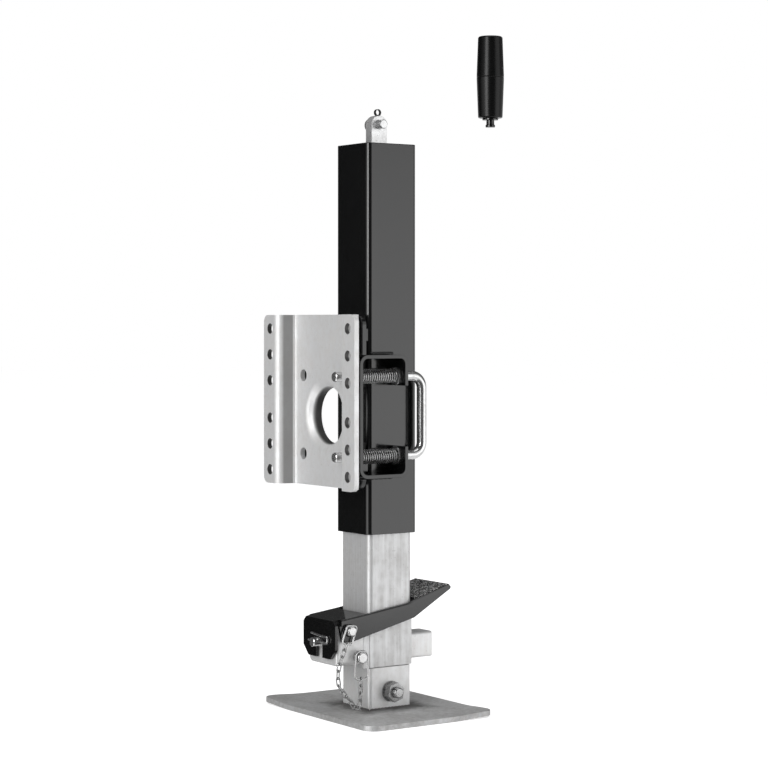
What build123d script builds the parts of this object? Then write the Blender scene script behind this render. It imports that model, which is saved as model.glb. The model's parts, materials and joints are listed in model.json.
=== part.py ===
from build123d import *
import math
import os

# Side-mount trailer stand with a swivel plate, a crank-driven ram and a drop leg.
# Millimetres. Z is up, the leg's axis is X 0, Y 0, and the foot stands on Z 0.
# X runs from the mount plate (minus) to the pedal (plus), and -Y is the lock handle's side.

os.makedirs("parts", exist_ok=True)

# Running clearances
run_gap = 0.3          # between parts that slide past each other end to end
pin_gap = 0.08         # radial, pins and shafts in their holes
bolt_gap = 0.1         # radial, fixed bolts in their holes

# Outer tube and its cap
tube_size = 57.15
tube_wall = 3.0
tube_corner = 5.0
tube_bottom = 174.0
tube_top = 551.0
cap_thick = 4.0
boss_radius = 15.0
boss_height = 1.0

# Ram tube, which slides in the outer tube
slide_gap = 0.575      # each side, between the outer tube and the ram
ram_wall = 3.0
ram_corner = 5.0
ram_foot = 94.5
ram_top = 520.0
ram_travel = 254.0

# Lock collar under the ram, with the guide for the plunger on its left
collar_bottom = 46.0
collar_edge = 1.0
guide_thick = 7.2
guide_top = 85.0

# Drop tube, which slides in the ram
drop_gap = 0.5         # each side, between the ram and the drop tube
drop_wall = 3.0
drop_corner = 4.0
drop_top = 340.0

# Boot and foot plate
foot_length = 195.0
foot_width = 145.0
foot_thick = 5.0
foot_corner = 25.0
boot_wall = 2.8
boot_corner = 4.0
boot_gap = 0.2
boot_bolt_z = 21.6
boot_bolt_radius = 5.0
boot_nut_flats = 17.0
boot_nut_high = 9.0
boot_washer_radius = 10.0
boot_washer_thick = 1.6

# Screw and its thrust bearing
screw_radius = 11.0
screw_core = 9.2
journal_radius = 8.0
race_radius = 17.0
race_thick = 2.5
ball_radius = 2.4
ball_circle = 12.6
ball_count = 10
screw_collar_radius = 16.0
screw_collar_high = 10.0
nut_high = 22.0

# Crank
crank_z = 571.0
hub_radius = 16.4
crank_width = 17.0
crank_wall = 3.0
crank_pin_radius = 4.5
crank_pin_end = 5.0
tongue_thick = 10.4
tongue_width = 18.0
crown_end = 23.0       # the arm's outline: along the arm, and above or below the crank's axis
crown_rise = 17.0
neck_middle = 33.0
neck_middle_rise = 14.0
neck_end = 44.5
neck_rise = 8.5
arm_flat = 75.0
arm_flat_rise = 8.0
arm_end = 150.5
arm_rise = 11.7
tip_high = 3.5
tip_start = 125.0
tip_drop = 1.0
belly_start = 50.4
belly_drop = 3.0
grip_x = 138.8
grip_bottom = 585.0
grip_length = 82.4
grip_end_radius = 12.45
grip_mid_radius = 13.85
spindle_radius = 4.0

# Swivel mount: a hat-shaped plate with a drawn collar
plate_face = -79.0
plate_thick = 5.0
plate_depth = 19.0
plate_width = 163.0
plate_low = 220.5
plate_high = 385.5
plate_corner = 7.0
web_half = 54.0
swivel_z = 288.5
hole_edge = 11.65
hole_radius = 5.2
hole_pitch = 25.4
hole_centre_gap = 36.7
collar_bore = 27.0
collar_wall = 3.0
collar_end = -46.0
flare_radius = 33.0
index_gap = 9.525      # from the outer tube's faces to the lines of the index holes
index_radius = 5.85
ring_radius = 35.0
ring_thick = 3.0

# Back plate, stand-offs and lock frame, welded to the outer tube
back_thick = 4.5
back_gap = 0.5
back_half = 58.0
back_corner = 10.0
bar_height = 12.0
frame_depth = 25.4
frame_low = 230.0
frame_high = 347.2
frame_right = 0.7
frame_wall = 3.5
frame_corner = 9.0
frame_strip = 8.0
frame_window = 27.0

# Lock handle, its springs and cross pins
rod_radius = 4.8
handle_x = 27.3
handle_bend = 12.0
handle_end = -73.8
spring_wire = 0.95
spring_turns = 10.5
spring_radius = 6.25
cross_radius = 1.5
cross_length = 16.0
seat_thick = 2.0
seat_radius = 9.0

# Lock housing left of the collar. Each reach goes out from the ram's left face
box_reach = 37.0
box_bottom = 50.0
box_wall = 3.0
box_corner = 5.0
box_end_top = 86.0
box_top = 91.0

# Foot lever
pivot_reach = 25.2
pivot_z = 84.2
pivot_radius = 4.65
pivot_near_reach = 6.0   # the pin's ends, out from the lever's side plates
pivot_far_reach = 4.0
lever_gap = 1.0          # each side, between the ram and the lever
lever_sheet = 3.0
lever_reach = 41.0
lever_end_inset = 0.5
lever_slot = 11.0
lever_slot_top = 78.0
tread_left = 26.5
tread_right = 67.0
pad_thick = 1.0

# Keeper pin under the pivot
keeper_reach = 13.0
keeper_z = 57.8
keeper_radius = 5.3
keeper_near_reach = 9.4  # the pin's ends, out from the ram's faces
keeper_far_reach = 4.0

# Plunger
plunger_z = 72.0
plunger_radius = 4.5
plunger_reach = 49.5
plunger_collar_radius = 7.5
plunger_collar_reach = 13.0
plunger_collar_thick = 3.0
plunger_spring_radius = 6.2
plunger_spring_wire = 0.8
plunger_spring_turns = 7.0
clip_radius = 1.1
clip_half = 17.0

# Stub on the right of the collar
stub_size = 25.0
stub_wall = 2.0
stub_length = 33.0
stub_z = 61.3

# Bails and chain
bail_wire = 0.85
groove_depth = 0.8
link_wire = 0.7
link_width = 5.2
link_count = 15
pivot_bail_gap = 3.2     # from the lever's side plate
keeper_bail_gap = 6.9    # from the ram's face

# Sizes that follow from the ones above
tube_half = tube_size / 2
ram_size = tube_size - 2 * (tube_wall + slide_gap)
ram_half = ram_size / 2
drop_size = ram_size - 2 * (ram_wall + drop_gap)
drop_half = drop_size / 2
boot_size = drop_size + 2 * (boot_gap + boot_wall)
index_offset = tube_half + index_gap
lever_inner = ram_half + lever_gap
lever_outer = lever_inner + lever_sheet
lever_end_half = lever_outer - lever_end_inset
pivot_near = lever_outer + pivot_near_reach
pivot_far = lever_outer + pivot_far_reach
pivot_bail_y = -lever_outer - pivot_bail_gap
keeper_near = ram_half + keeper_near_reach
keeper_far = ram_half + keeper_far_reach
keeper_bail_y = -ram_half - keeper_bail_gap
box_left = -ram_half - box_reach
lever_face = -ram_half - lever_reach
pivot_x = -ram_half - pivot_reach
keeper_x = -ram_half - keeper_reach
plunger_end = -ram_half - plunger_reach
plunger_collar_x = -ram_half - plunger_collar_reach
stub_end = ram_half + stub_length
cap_bottom = tube_top - cap_thick
grip_top = grip_bottom + grip_length
hole_y = plate_width / 2 - hole_edge


def save(node, shape):
    solids = shape.solids()
    whole = solids[0] if len(solids) == 1 else Compound(children=list(solids))
    export_step(whole, "parts/" + node + ".step")


def square_tube(size, wall, corner, low, high):
    """A square tube along Z with rounded corners."""
    ring = RectangleRounded(size, size, corner)
    ring -= RectangleRounded(size - 2 * wall, size - 2 * wall, max(corner - wall, 0.5))
    return extrude(Plane.XY.offset(low) * ring, high - low)


def rod(start, end, radius):
    """A plain cylinder between two points."""
    start, end = Vector(*start), Vector(*end)
    way = end - start
    return extrude(Plane(start, z_dir=way) * Circle(radius), way.length)


def side(points, low, high):
    """A flat piece cut to a polygon in X and Z, between two Y values."""
    face = make_face(Polyline(*[(x, low, z) for x, z in points], close=True))
    return extrude(face, high - low, dir=(0, 1, 0))


def across(points, low, high):
    """A flat piece cut to a polygon in Y and Z, between two X values."""
    face = make_face(Polyline(*[(low, y, z) for y, z in points], close=True))
    return extrude(face, high - low, dir=(1, 0, 0))


def block(x0, x1, y0, y1, z0, z1):
    return Pos((x0 + x1) / 2, (y0 + y1) / 2, (z0 + z1) / 2) * Box(x1 - x0, y1 - y0, z1 - z0)


def turned(points, origin, axis):
    """A body turned about an axis, from (distance along the axis, radius) points."""
    plane = Plane(origin, z_dir=axis)
    shape = revolve(make_face(Polyline(*[(r, 0, a) for a, r in points], close=True)), Axis.Z)
    return plane.location * shape


def spring(start_x, end_x, y, z, radius, wire, turns):
    """A coil along X: a six-sided wire bent in short straight runs, twelve to a turn."""
    length = end_x - start_x - 2 * wire
    steps = round(turns * 12)
    corner = radius / math.cos(math.pi / 12)
    points = [(start_x + wire + length * i / steps, y + corner * math.cos(i * math.pi / 6),
               z + corner * math.sin(i * math.pi / 6)) for i in range(steps + 1)]
    path = Polyline(*points)
    plane = Plane(path @ 0, x_dir=(1, 0, 0), z_dir=Vector(*points[1]) - Vector(*points[0]))
    return sweep(plane * RegularPolygon(wire, 6), path=path, transition=Transition.RIGHT)


# Outer tube, cap and bearing
outer_tube = square_tube(tube_size, tube_wall, tube_corner, tube_bottom, cap_bottom)
save("outer_tube", outer_tube)

top_cap = extrude(Plane.XY.offset(cap_bottom) * RectangleRounded(tube_size, tube_size, tube_corner), cap_thick)
top_cap = fillet(top_cap.edges().group_by(Axis.Z)[-1], 0.8)
top_cap += extrude(Plane.XY.offset(tube_top) * Circle(boss_radius), boss_height)
top_cap -= rod((0, 0, cap_bottom - 1), (0, 0, tube_top + boss_height + 1), journal_radius + pin_gap)
save("top_cap", top_cap)

race_high = cap_bottom
ball_z = race_high - race_thick - ball_radius
race_low = ball_z - ball_radius - race_thick
ball_size = ball_radius - 0.02
race_bore = journal_radius + pin_gap
upper_race = turned([(0, race_bore), (0, race_radius), (race_thick, race_radius), (race_thick, race_bore)],
                    (0, 0, race_high - race_thick), (0, 0, 1))
lower_race = turned([(0, race_bore), (0, race_radius), (race_thick, race_radius), (race_thick, race_bore)],
                    (0, 0, race_low), (0, 0, 1))
# Each ball is turned with four flat bands from pole to pole
ball_bands = [(-math.cos(math.pi * k / 4) * ball_size, math.sin(math.pi * k / 4) * ball_size) for k in range(4)]
ball = turned(ball_bands + [(ball_size, 0)], (ball_circle, 0, ball_z), (0, 0, 1))
save("bearing_upper_race", upper_race)
save("bearing_balls", Compound(children=[Rot(0, 0, 360 * i / ball_count) * ball for i in range(ball_count)]))
save("bearing_lower_race", lower_race)

# Screw: tongue, journal, collar under the bearing, and the threaded length
collar_top = race_low
neck_z = tube_top + boss_height + run_gap
screw = rod((0, 0, collar_top - screw_collar_high), (0, 0, neck_z), journal_radius)
screw += rod((0, 0, collar_top - screw_collar_high), (0, 0, collar_top), screw_collar_radius)
thread_top = collar_top - screw_collar_high
screw_bottom = ram_top - nut_high - ram_travel
thread_points = [(0, 0), (0, screw_core)]
thread_points += [(2, screw_radius), (thread_top - screw_bottom, screw_radius), (thread_top - screw_bottom, 0)]
screw += turned(thread_points, (0, 0, screw_bottom), (0, 0, 1))
tongue = block(-tongue_width / 2, tongue_width / 2, -tongue_thick / 2, tongue_thick / 2, neck_z, crank_z)
tongue += rod((0, -tongue_thick / 2, crank_z), (0, tongue_thick / 2, crank_z), tongue_width / 2)
screw += tongue
screw -= rod((0, -20, crank_z), (0, 20, crank_z), crank_pin_radius + pin_gap)
save("lead_screw", screw)

ram_nut = extrude(Plane.XY.offset(ram_top - nut_high) * RectangleRounded(
    ram_size - 2 * ram_wall, ram_size - 2 * ram_wall, ram_corner - ram_wall), nut_high)
ram_nut -= rod((0, 0, ram_top - nut_high - 1), (0, 0, ram_top + 1), screw_radius + 0.1)
save("ram_nut", ram_nut)

# Crank arm: a channel open downwards, with two round cheeks at the hub
half = crank_width / 2
neck = [(crown_end, crown_rise), (neck_middle, neck_middle_rise), (neck_end, neck_rise)]
straight = [(neck_end, neck_rise), (arm_flat, arm_flat_rise), (arm_end, arm_rise), (arm_end, arm_rise - tip_high)]
straight += [(tip_start, -tip_drop), (belly_start, -belly_drop), (0, -hub_radius)]
edge = Line((0, 0, hub_radius), (crown_end, 0, crown_rise))
edge += Spline(*[(x, 0, z) for x, z in neck], tangents=[(1, 0, 0), (1, 0, 0)])
edge += Polyline(*[(x, 0, z) for x, z in straight])
edge += ThreePointArc((0, 0, -hub_radius), (-hub_radius, 0, 0), (0, 0, hub_radius))
arm_face = Pos(0, 0, crank_z) * make_face(edge)
crank_arm = extrude(arm_face, half, both=True, dir=(0, 1, 0))
web_start = tongue_width / 2 + 2.0
channel = extrude(Pos(0, 0, -crank_wall) * arm_face, half - crank_wall, both=True, dir=(0, 1, 0))
crank_arm -= channel
inner = half - crank_wall
crank_arm -= block(-2 * hub_radius, web_start, -inner, inner, crank_z - 2 * hub_radius, crank_z + 2 * hub_radius)
crank_arm -= block(web_start, arm_end - crank_wall, -inner, inner, crank_z - 2 * hub_radius, crank_z + 4)
tip = block(arm_end - half, arm_end + 1, -half - 1, half + 1, crank_z - 20, crank_z + 30)
tip -= rod((arm_end - half, 0, crank_z - 20), (arm_end - half, 0, crank_z + 30), half)
crank_arm -= tip
crank_arm -= rod((0, -20, crank_z), (0, 20, crank_z), crank_pin_radius + pin_gap)
crank_arm -= rod((-3.3, -20, crank_z + 11.4), (-3.3, 20, crank_z + 11.4), 2.6)
crank_arm -= rod((grip_x, 0, crank_z), (grip_x, 0, crank_z + 30), spindle_radius + bolt_gap)
save("crank_arm", crank_arm)

pin_low = -half - crank_pin_end
crank_pin = rod((0, pin_low, crank_z), (0, half + 1.2, crank_z), crank_pin_radius)
crank_pin += rod((0, half + 0.1, crank_z), (0, half + 2.6, crank_z), crank_pin_radius + 2.2)
crank_pin = chamfer(crank_pin.edges().sort_by(Axis.Y)[0], 0.6)
save("crank_pin", crank_pin)

# Grip and its spindle
grip_mid = (grip_bottom + grip_top) / 2
grip_bore = spindle_radius + 0.25
head_sink = 7.0
grip_line = Line((grip_bore, 0, grip_bottom), (grip_end_radius - 1.5, 0, grip_bottom))
grip_line += Line((grip_end_radius - 1.5, 0, grip_bottom), (grip_end_radius, 0, grip_bottom + 1.5))
grip_line += ThreePointArc((grip_end_radius, 0, grip_bottom + 1.5), (grip_mid_radius, 0, grip_mid),
                           (grip_end_radius, 0, grip_top - 2.5))
grip_line += Line((grip_end_radius, 0, grip_top - 2.5), (grip_end_radius - 2.5, 0, grip_top))
grip_line += Line((grip_end_radius - 2.5, 0, grip_top), (8.2, 0, grip_top))
grip_line += Line((8.2, 0, grip_top), (8.2, 0, grip_top - head_sink))
grip_line += Line((8.2, 0, grip_top - head_sink), (grip_bore, 0, grip_top - head_sink))
grip_line += Line((grip_bore, 0, grip_top - head_sink), (grip_bore, 0, grip_bottom))
crank_grip = Pos(grip_x, 0, 0) * revolve(make_face(grip_line), Axis.Z)
save("crank_grip", crank_grip)

web_z = crank_z + arm_rise - (arm_end - grip_x) * (arm_rise - arm_flat_rise) / (arm_end - arm_flat)
shoulder = 8.0
spindle = rod((grip_x, 0, web_z - crank_wall - 2), (grip_x, 0, grip_top - head_sink + 0.3), spindle_radius)
spindle += rod((grip_x, 0, web_z + 0.6), (grip_x, 0, grip_bottom - run_gap), shoulder)
head = rod((grip_x, 0, grip_top - head_sink + run_gap), (grip_x, 0, grip_top - head_sink + 4.2), 7.4)
spindle += fillet(head.edges().group_by(Axis.Z)[-1], 2.0)
spindle += rod((grip_x, 0, web_z - crank_wall - 3.6), (grip_x, 0, web_z - crank_wall - 1.0), spindle_radius + 0.8)
save("grip_spindle", spindle)

# Ram tube, collar with the plunger guide, housing and stub
ram_tube = square_tube(ram_size, ram_wall, ram_corner, ram_foot, ram_top)
save("ram_tube", ram_tube)

collar = extrude(Plane.XY.offset(collar_bottom) * (
    RectangleRounded(ram_size, ram_size, collar_edge)
    - RectangleRounded(ram_size - 2 * ram_wall, ram_size - 2 * ram_wall, ram_corner - ram_wall)),
    ram_foot - collar_bottom)
guide_left = -ram_half - guide_thick
collar += block(guide_left, -ram_half + 0.01, -ram_half, ram_half, collar_bottom, guide_top)
plunger_hole = rod((guide_left - 1, 0, plunger_z), (-drop_half, 0, plunger_z), plunger_radius + pin_gap)
collar -= plunger_hole
collar = chamfer(collar.edges().filter_by(Axis.Z).group_by(Axis.X)[0], 0.6)
save("lock_collar", collar)

walls = [(box_left, box_bottom), (box_left, box_end_top), (box_left + 5, box_top), (-45, box_top)]
walls += [(guide_left, guide_top - 1), (guide_left, box_bottom)]
housing = side(walls, -ram_half, ram_half)
lower_edges = housing.edges().filter_by(Axis.X).group_by(Axis.Z)[0]
housing = fillet(lower_edges, box_corner)
front_edges = housing.edges().filter_by(Axis.Z).group_by(Axis.X)[0]
housing = fillet(front_edges, 2.5)
room = block(box_left + box_wall, guide_left + 1, -ram_half + box_wall, ram_half - box_wall,
             box_bottom + box_wall, box_top + 5)
room = fillet(room.edges().filter_by(Axis.X).group_by(Axis.Z)[0], box_corner - box_wall)
housing -= room
housing -= rod((box_left - 1, 0, plunger_z), (box_left + 5, 0, plunger_z), plunger_radius + pin_gap)
housing -= rod((pivot_x, -40, pivot_z), (pivot_x, 40, pivot_z), pivot_radius + pin_gap)
housing -= rod((keeper_x, -40, keeper_z), (keeper_x, 40, keeper_z), keeper_radius + pin_gap)
save("lock_housing", housing)

stub_ring = RectangleRounded(stub_size, stub_size, 3.0)
stub_ring -= RectangleRounded(stub_size - 2 * stub_wall, stub_size - 2 * stub_wall, 1.0)
stub = extrude(Plane((ram_half, 0, stub_z), z_dir=(1, 0, 0)) * stub_ring, stub_end - ram_half)
save("stop_stub", stub)

# Pins with a groove for their wire bails
def grooved_pin(x, z, radius, near, far, groove_y):
    pin = turned([(0, 0), (0, radius - 0.8), (0.8, radius), (near + far - 0.8, radius),
                  (near + far, radius - 0.8), (near + far, 0)], (x, -near, z), (0, 1, 0))
    wide = 2 * bail_wire + 0.7
    ring = turned([(0, radius - groove_depth), (0, radius + 2), (wide, radius + 2), (wide, radius - groove_depth)],
                  (x, groove_y - wide / 2, z), (0, 1, 0))
    return pin - ring


save("pivot_pin", grooved_pin(pivot_x, pivot_z, pivot_radius, pivot_near, pivot_far, pivot_bail_y))
save("keeper_pin", grooved_pin(keeper_x, keeper_z, keeper_radius, keeper_near, keeper_far, keeper_bail_y))

# Foot lever: one bent sheet with two side plates, a bridge, an end plate and a tread
toe_x, toe_z = lever_face + 3.5, 94.3      # upper left corner of the side plates
rear_x, rear_z = -29.5, 98.6               # right end of the bridge
step_x, step_z = 24.0, 108.2               # left end of the tread
heel_x, heel_z = 66.5, 120.9               # right end of the tread
lever_profile = [(toe_x, toe_z), (-58.2, 73.6), (-49.0, 72.8), (25.0, 91.3), (68.0, 116.5), (69.0, 119.0)]
lever_profile += [(heel_x, heel_z), (step_x, step_z), (18.3, 105.6), (rear_x, rear_z)]
lever = side(lever_profile, -lever_outer, -lever_inner) + side(lever_profile, lever_inner, lever_outer)
slope = (heel_z - step_z) / (heel_x - step_x)
tread_z = step_z + (tread_left - step_x) * slope
tread_end_z = step_z + (tread_right - step_x) * slope
tread = [(tread_left, tread_z), (tread_right, tread_end_z), (tread_right, tread_end_z - lever_sheet)]
tread += [(tread_left, tread_z - lever_sheet)]
lever += side(tread, -lever_outer, lever_outer)
bridge_slope = (rear_z - toe_z) / (rear_x - toe_x)
bridge_z = toe_z - (toe_x - lever_face) * bridge_slope
bridge = [(lever_face, bridge_z), (rear_x, rear_z), (rear_x, rear_z - lever_sheet)]
bridge += [(lever_face, bridge_z - lever_sheet)]
lever += side(bridge, -lever_outer, lever_outer)
end_half = lever_end_half
end_outline = [(-end_half, 66.5), (-19.5, 57.0), (-lever_slot / 2, 57.0), (-lever_slot / 2, lever_slot_top)]
end_outline += [(lever_slot / 2, lever_slot_top), (lever_slot / 2, 57.0), (19.5, 57.0), (end_half, 66.5)]
end_outline += [(end_half, 90.0), (end_half - 4, bridge_z - 0.5), (-end_half + 4, bridge_z - 0.5), (-end_half, 90.0)]
lever += across(end_outline, lever_face, lever_face + lever_sheet)
lever -= rod((pivot_x, -40, pivot_z), (pivot_x, 40, pivot_z), pivot_radius + pin_gap)
save("foot_lever", lever)

pad_low = [(tread_left + 1, tread_z + slope), (tread_right - 1.5, tread_end_z - 1.5 * slope)]
pad = pad_low + [(tread_right - 1.5, tread_end_z - 1.5 * slope + pad_thick), (tread_left + 1, tread_z + slope + pad_thick)]
save("tread_pad", side(pad, -lever_outer + 1.2, lever_outer - 1.2))

# Plunger, its spring and clip
tip_x = -drop_half - run_gap
plunger = rod((plunger_end, 0, plunger_z), (tip_x, 0, plunger_z), plunger_radius)
plunger = chamfer(plunger.edges().group_by(Axis.X)[0], 0.7)
plunger += rod((plunger_collar_x, 0, plunger_z), (plunger_collar_x + plunger_collar_thick, 0, plunger_z),
               plunger_collar_radius)
clip_x = lever_face - run_gap - clip_radius
plunger -= rod((clip_x, -20, plunger_z), (clip_x, 20, plunger_z), clip_radius + pin_gap)
save("lock_plunger", plunger)

clip_top = plunger_z + plunger_radius + clip_radius + 0.25
clip_line = FilletPolyline((clip_x, clip_half, plunger_z), (clip_x, -clip_half, plunger_z),
                           (clip_x, -clip_half, clip_top), (clip_x, -6, clip_top), (clip_x, 12, clip_top + 1.5),
                           radius=[2.7, 2.7, 6])
clip = sweep(Plane(clip_line @ 0, z_dir=clip_line % 0) * RegularPolygon(clip_radius, 8), path=clip_line)
save("plunger_clip", clip)
save("plunger_spring", spring(box_left + box_wall, plunger_collar_x, 0, plunger_z, plunger_spring_radius,
                              plunger_spring_wire, plunger_spring_turns))

# Drop tube, boot, bolt and foot plate
drop_tube = square_tube(drop_size, drop_wall, drop_corner, foot_thick, drop_top)
bolt_hole = rod((0, -40, boot_bolt_z), (0, 40, boot_bolt_z), boot_bolt_radius + bolt_gap)
save("drop_tube", drop_tube - bolt_hole)

boot_top = collar_bottom - run_gap
boot = extrude(Plane.XY.offset(foot_thick) * (
    RectangleRounded(boot_size, boot_size, boot_corner)
    - RectangleRounded(drop_size + 2 * boot_gap, drop_size + 2 * boot_gap, drop_corner)), boot_top - foot_thick)
save("foot_boot", boot - bolt_hole)

foot_plate = extrude(RectangleRounded(foot_width, foot_length, foot_corner), foot_thick)
foot_plate = fillet(foot_plate.edges().group_by(Axis.Z)[-1], 1.8)
foot_plate = fillet(foot_plate.edges().group_by(Axis.Z)[0], 0.8)
save("foot_plate", foot_plate)

boot_half = boot_size / 2
nut_face = -boot_half - boot_washer_thick
bolt_tip = nut_face - boot_nut_high - 5.0
bolt = rod((0, bolt_tip, boot_bolt_z), (0, boot_half + 3, boot_bolt_z), boot_bolt_radius)
bolt = chamfer(bolt.edges().group_by(Axis.Y)[0], 0.9)
hex_plane = Plane((0, boot_half, boot_bolt_z), x_dir=(0, 0, 1), z_dir=(0, 1, 0))
bolt += extrude(hex_plane * RegularPolygon(boot_nut_flats / 2, 6, major_radius=False), 6.4)
save("boot_bolt", bolt)
nut_plane = Plane((0, nut_face, boot_bolt_z), x_dir=(1, 0, 0.35), z_dir=(0, -1, 0))
nut = extrude(nut_plane * RegularPolygon(boot_nut_flats / 2, 6, major_radius=False), boot_nut_high)
nut -= rod((0, -60, boot_bolt_z), (0, 0, boot_bolt_z), boot_bolt_radius + 0.05)
save("boot_nut", nut)
washer = turned([(0, boot_bolt_radius + 0.2), (0, boot_washer_radius), (boot_washer_thick, boot_washer_radius),
                 (boot_washer_thick, boot_bolt_radius + 0.2)], (0, nut_face, boot_bolt_z), (0, 1, 0))
save("boot_washer", washer)

# Mount plate: hat section with flanges, web, drawn collar and index holes
web_face = plate_face + plate_depth
mid_flange = plate_face + plate_thick / 2
mid_web = web_face + plate_thick / 2


def sheet(points, thick, inner):
    """A bent sheet in plan, from its middle line, with a bend radius inside each corner."""
    count = len(points)
    sides = []
    for sign in (1, -1):
        line = []
        radii = []
        for i in range(count):
            before = Vector(*points[i]) - Vector(*points[i - 1]) if i else None
            after = Vector(*points[i + 1]) - Vector(*points[i]) if i < count - 1 else None
            before = (before or after).normalized()
            after = (after or before).normalized()
            normal_a = Vector(-before.Y, before.X)
            normal_b = Vector(-after.Y, after.X)
            middle = (normal_a + normal_b).normalized()
            reach = sign * thick / 2 / middle.dot(normal_a)
            line.append((points[i][0] + middle.X * reach, points[i][1] + middle.Y * reach))
            turn = before.X * after.Y - before.Y * after.X
            if 0 < i < count - 1:
                radii.append(inner if turn * sign > 0 else inner + thick)
        sides.append(FilletPolyline(*line, radius=radii))
    a, b = sides
    return make_face(a + Line(a @ 1, b @ 1) + b + Line(b @ 0, a @ 0))


hat = [(mid_flange, plate_width / 2), (mid_flange, web_half + 4.5), (mid_web, web_half), (mid_web, -web_half)]
hat += [(mid_flange, -web_half - 4.5), (mid_flange, -plate_width / 2)]
mount = extrude(Plane.XY.offset(plate_low) * sheet(hat, plate_thick, 2.5), plate_high - plate_low)
plate_mid = (plate_low + plate_high) / 2
outline = extrude(Plane((plate_face - 5, 0, plate_mid), x_dir=(0, 1, 0), z_dir=(1, 0, 0)) * RectangleRounded(
    plate_width, plate_high - plate_low, plate_corner), 60)
mount = mount & outline
mount -= rod((-90, 0, swivel_z), (-40, 0, swivel_z), collar_bore + collar_wall - 0.5)
mount += rod((web_face, 0, swivel_z), (collar_end, 0, swivel_z), collar_bore + collar_wall)
mount -= rod((-90, 0, swivel_z), (-40, 0, swivel_z), collar_bore)
mount -= turned([(0, 0), (0, flare_radius), (6, collar_bore - 0.01), (6, 0)], (web_face, 0, swivel_z), (1, 0, 0))
hole_rows = [hole_centre_gap / 2 + hole_pitch * i for i in range(3)]
for y in (-hole_y, hole_y):
    for rise in hole_rows:
        for z in (plate_mid - rise, plate_mid + rise):
            mount -= rod((plate_face - 1, y, z), (plate_face + plate_thick + 1, y, z), hole_radius)
for y in (-index_offset, index_offset):
    for z in (swivel_z - index_offset, swivel_z + index_offset):
        mount -= rod((web_face - 1, y, z), (web_face + plate_thick + 1, y, z), index_radius)
save("mount_plate", mount)

# Back plate behind the web, notched for the lock frame, with the collar's retaining ring
back_left = web_face + plate_thick + back_gap
back_right = back_left + back_thick
sleeve = collar_bore + collar_wall
back = extrude(Plane((back_left, 0, plate_mid), x_dir=(0, 1, 0), z_dir=(1, 0, 0)) * RectangleRounded(
    2 * back_half, plate_high - plate_low, back_corner), back_thick)
back -= rod((-90, 0, swivel_z), (-40, 0, swivel_z), sleeve + run_gap)
back -= block(back_left - 1, back_right + 1, -back_half - 1, -tube_half, frame_low, frame_high)
save("back_plate", back)
ring_left = back_right + run_gap
ring = turned([(0, sleeve + 0.05), (0, ring_radius), (ring_thick, ring_radius), (ring_thick, sleeve + 0.05)],
              (ring_left, 0, swivel_z), (1, 0, 0))
save("collar_ring", ring)
bars = [block(back_right, -tube_half, -tube_half, tube_half, z, z + bar_height)
        for z in (frame_low + 5, frame_high + 13)]
save("stand_offs", Compound(children=bars))

# Lock frame: a rectangular ring open to the front, welded to the tube
frame_front = -tube_half - frame_depth
frame_mid = (back_left + frame_right) / 2
frame_plane = Plane((frame_mid, -tube_half, (frame_low + frame_high) / 2), x_dir=(1, 0, 0), z_dir=(0, -1, 0))
frame_w, frame_h = frame_right - back_left, frame_high - frame_low
ring_face = RectangleRounded(frame_w, frame_h, frame_corner)
ring_face -= RectangleRounded(frame_w - 2 * frame_wall, frame_h - 2 * frame_wall, frame_corner - frame_wall)
frame = extrude(frame_plane * ring_face, frame_depth)
frame -= block(frame_right - frame_wall - 1, frame_right + 1, frame_front + frame_strip, 0,
               swivel_z - frame_window, swivel_z + frame_window)
frame -= rod((-90, 0, swivel_z), (-40, 0, swivel_z), sleeve + run_gap)
legs = (swivel_z + index_offset, swivel_z - index_offset)
for z in legs:
    frame -= rod((-60, -index_offset, z), (10, -index_offset, z), rod_radius + pin_gap)
save("lock_frame", frame)

# Lock handle with its cross pins, spring seats and springs
low_leg, high_leg = swivel_z - index_offset, swivel_z + index_offset
handle_line = FilletPolyline((handle_end, -index_offset, high_leg), (handle_x, -index_offset, high_leg),
                             (handle_x, -index_offset, low_leg), (handle_end, -index_offset, low_leg),
                             radius=handle_bend)
handle = sweep(Plane(handle_line @ 0, z_dir=handle_line % 0) * Circle(rod_radius), path=handle_line)
frame_inside = back_left + frame_wall
cross_x = frame_inside + run_gap + cross_radius
for z in legs:
    handle -= rod((cross_x, -index_offset, z - 10), (cross_x, -index_offset, z + 10), cross_radius + 0.02)
handle = chamfer(handle.edges().group_by(Axis.X)[0], 0.8)
save("lock_handle", handle)
crosses = [rod((cross_x, -index_offset, z - cross_length / 2), (cross_x, -index_offset, z + cross_length / 2),
               cross_radius) for z in legs]
save("handle_cross_pins", Compound(children=crosses))
seat_x = frame_right - frame_wall - seat_thick
seats = [turned([(0, rod_radius + 0.15), (0, seat_radius), (seat_thick, seat_radius),
                 (seat_thick, rod_radius + 0.15)], (seat_x, -index_offset, z), (1, 0, 0)) for z in legs]
save("spring_seats", Compound(children=seats))
coils = [spring(cross_x + cross_radius + 0.05, seat_x - 0.05, -index_offset, z, spring_radius, spring_wire,
                spring_turns) for z in legs]
save("lock_springs", Compound(children=coils))


# Bails on the two pins, and the chain between them
def bail(points, y, wire, radius):
    line = FilletPolyline(*[(x, y, z) for x, z in points], radius=radius, close=True)
    return sweep(Plane(line @ 0, z_dir=line % 0) * RegularPolygon(wire, 6), path=line)


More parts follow.
